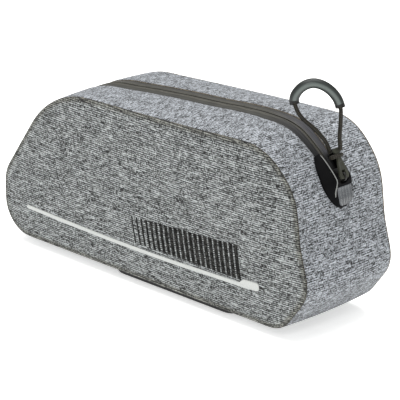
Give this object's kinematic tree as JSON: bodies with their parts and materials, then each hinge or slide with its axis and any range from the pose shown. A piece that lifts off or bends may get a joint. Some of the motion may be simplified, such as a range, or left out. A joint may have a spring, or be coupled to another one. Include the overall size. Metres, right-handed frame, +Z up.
{
  "type": "bicycle frame bag",
  "caption": "Bicycle frame bag: tapered grey fabric case with a coated zip along the top, a moulded zip dock, a cord pull with a curved handle and a flat base plate.",
  "frame": {"origin": "centre of the bag's box in plan, on the surface that the base plate rests on", "axes": "+X along the bag to its tall end with the zip dock, -Y out of the printed side, +Z up"},
  "size_m": [0.2427, 0.0762, 0.1405],
  "materials": {
    "fabric_near": "matt heather grey coated weave",
    "fabric_far": "matt heather grey coated weave",
    "fabric_band": "matt heather grey coated weave",
    "tape_coating": "satin coated zip tape",
    "coil_plastic": "satin",
    "dock_plastic": "satin moulded",
    "slider_metal": "satin paint",
    "tab_plastic": "satin",
    "cord_fibre": "matt braid",
    "handle_plastic": "semi-gloss",
    "plate_plastic": "matt moulded",
    "stripe_film": "reflective film"
  },
  "bodies": {
    "root": {"gusset_band": "fabric_band", "side_panel_near": "fabric_near", "side_panel_far": "fabric_far", "zip_tape_near": "tape_coating", "zip_tape_far": "tape_coating", "zip_coil": "coil_plastic", "zip_dock": "dock_plastic", "zip_slider": "slider_metal", "pull_tab": "tab_plastic", "pull_cord": "cord_fibre", "cord_knot": "cord_fibre", "pull_handle": "handle_plastic", "base_plate": "plate_plastic", "reflective_stripe": "stripe_film"}
  },
  "joints": []
}
